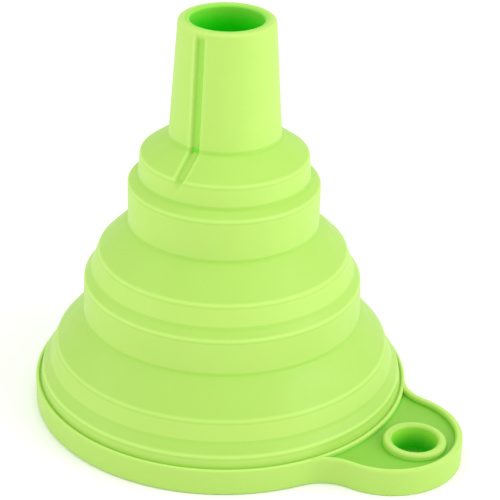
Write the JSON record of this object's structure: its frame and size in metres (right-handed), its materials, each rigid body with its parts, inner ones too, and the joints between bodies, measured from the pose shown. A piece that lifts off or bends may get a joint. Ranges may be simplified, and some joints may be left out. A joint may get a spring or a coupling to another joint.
{
  "type": "collapsible funnel",
  "caption": "Collapsible silicone funnel: a stepped wall that folds flat in nested rings, a narrow tapered spout with a vent groove, and a hang tab with a raised hole.",
  "frame": {"origin": "on the funnel's axis, in the plane of the mouth that it stands on", "axes": "+Z along the funnel's axis from the mouth to the spout, +X from the axis towards the hang tab, +Y completes the right-handed frame, so the vent groove faces -Y"},
  "size_m": [0.0951, 0.078, 0.0839],
  "materials": {
    "silicone_wall": "matt lime green silicone, slightly translucent",
    "silicone_web": "matt lime green silicone, thin and a shade deeper",
    "silicone_tray": "matt lime green silicone, deeper in the recess"
  },
  "bodies": {
    "mouth": {"mouth_rim": "silicone_wall", "base_collar": "silicone_wall", "base_ledge_web": "silicone_web", "hang_tab_lip": "silicone_wall", "hang_tab_floor": "silicone_tray", "hang_tab_grommet": "silicone_wall"},
    "base_step": {"base_step_ring": "silicone_wall", "base_shoulder_web": "silicone_web"},
    "middle_band": {"middle_band": "silicone_wall", "middle_ledge_web": "silicone_web"},
    "middle_step": {"middle_step_ring": "silicone_wall", "middle_shoulder_web": "silicone_web"},
    "upper_band": {"upper_band": "silicone_wall", "upper_ledge_web": "silicone_web"},
    "upper_step": {"upper_step_ring": "silicone_wall", "upper_shoulder_web": "silicone_web"},
    "spout": {"spout": "silicone_wall"}
  },
  "joints": [
    {"name": "base_ledge_fold", "type": "slide", "parent": "mouth", "child": "base_step", "axis": [0, 0, -1], "range_m": [0, 0.003], "deforming": ["base_ledge_web"]},
    {"name": "base_shoulder_fold", "type": "slide", "parent": "base_step", "child": "middle_band", "axis": [0, 0, -1], "range_m": [0, 0.0122], "deforming": ["base_shoulder_web"]},
    {"name": "middle_ledge_fold", "type": "slide", "parent": "middle_band", "child": "middle_step", "axis": [0, 0, -1], "range_m": [0, 0.0026], "deforming": ["middle_ledge_web"]},
    {"name": "middle_shoulder_fold", "type": "slide", "parent": "middle_step", "child": "upper_band", "axis": [0, 0, -1], "range_m": [0, 0.011], "deforming": ["middle_shoulder_web"]},
    {"name": "upper_ledge_fold", "type": "slide", "parent": "upper_band", "child": "upper_step", "axis": [0, 0, -1], "range_m": [0, 0.0022], "deforming": ["upper_ledge_web"]},
    {"name": "upper_shoulder_fold", "type": "slide", "parent": "upper_step", "child": "spout", "axis": [0, 0, -1], "range_m": [0, 0.0072], "deforming": ["upper_shoulder_web"]}
  ]
}
